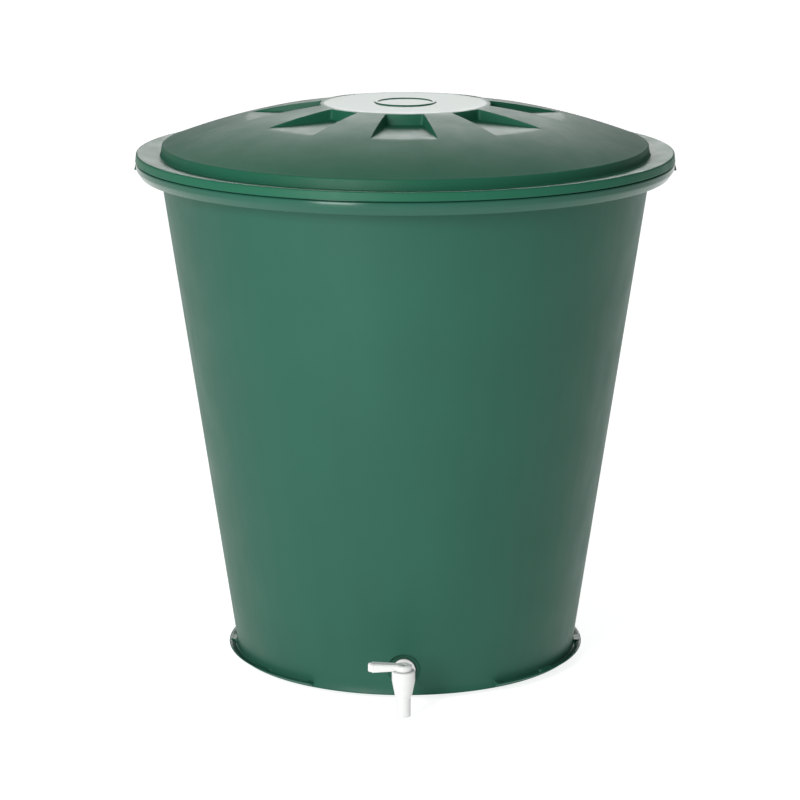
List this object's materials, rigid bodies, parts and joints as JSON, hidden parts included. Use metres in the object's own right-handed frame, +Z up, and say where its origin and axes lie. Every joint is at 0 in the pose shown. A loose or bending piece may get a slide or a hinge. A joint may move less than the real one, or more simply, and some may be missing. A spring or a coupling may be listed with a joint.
{
  "type": "rain barrel",
  "caption": "Round tapered plastic rain barrel with a domed lift-off lid and a quarter-turn plastic tap low on its wall.",
  "frame": {"origin": "on the barrel's vertical axis, on the ground under the foot ring", "axes": "+Z up the barrel's axis; the tap faces -Y; the finger tabs of the barrel's rim are at +X and -X"},
  "size_m": [0.8054, 0.8, 0.8437],
  "materials": {
    "barrel_green": "satin moulded polypropylene",
    "lid_green": "satin moulded polypropylene",
    "tap_white": "white moulded polypropylene",
    "plug_white": "off-white moulded plastic",
    "black_rubber": "matt rubber",
    "stainless": "plain stainless steel"
  },
  "bodies": {
    "barrel": {"barrel_body": "barrel_green", "tap_body": "tap_white", "plug_clip": "stainless", "tap_outer_gasket": "black_rubber", "tap_inner_gasket": "black_rubber", "tap_lock_nut": "plug_white"},
    "lid": {"lid": "lid_green"},
    "tap_key": {"tap_plug": "plug_white", "tap_lever": "tap_white", "lever_screw": "stainless", "plug_ring_lower": "black_rubber", "plug_ring_upper": "black_rubber"}
  },
  "joints": [
    {"name": "lid_lift", "type": "slide", "parent": "barrel", "child": "lid", "axis": [0, 0, 1], "range_m": [0, 0.15]},
    {"name": "tap_turn", "type": "hinge", "parent": "barrel", "child": "tap_key", "pos_m": [0, -0.345, 0.047], "axis": [0, 0, 1], "range_deg": [0, 90]}
  ]
}
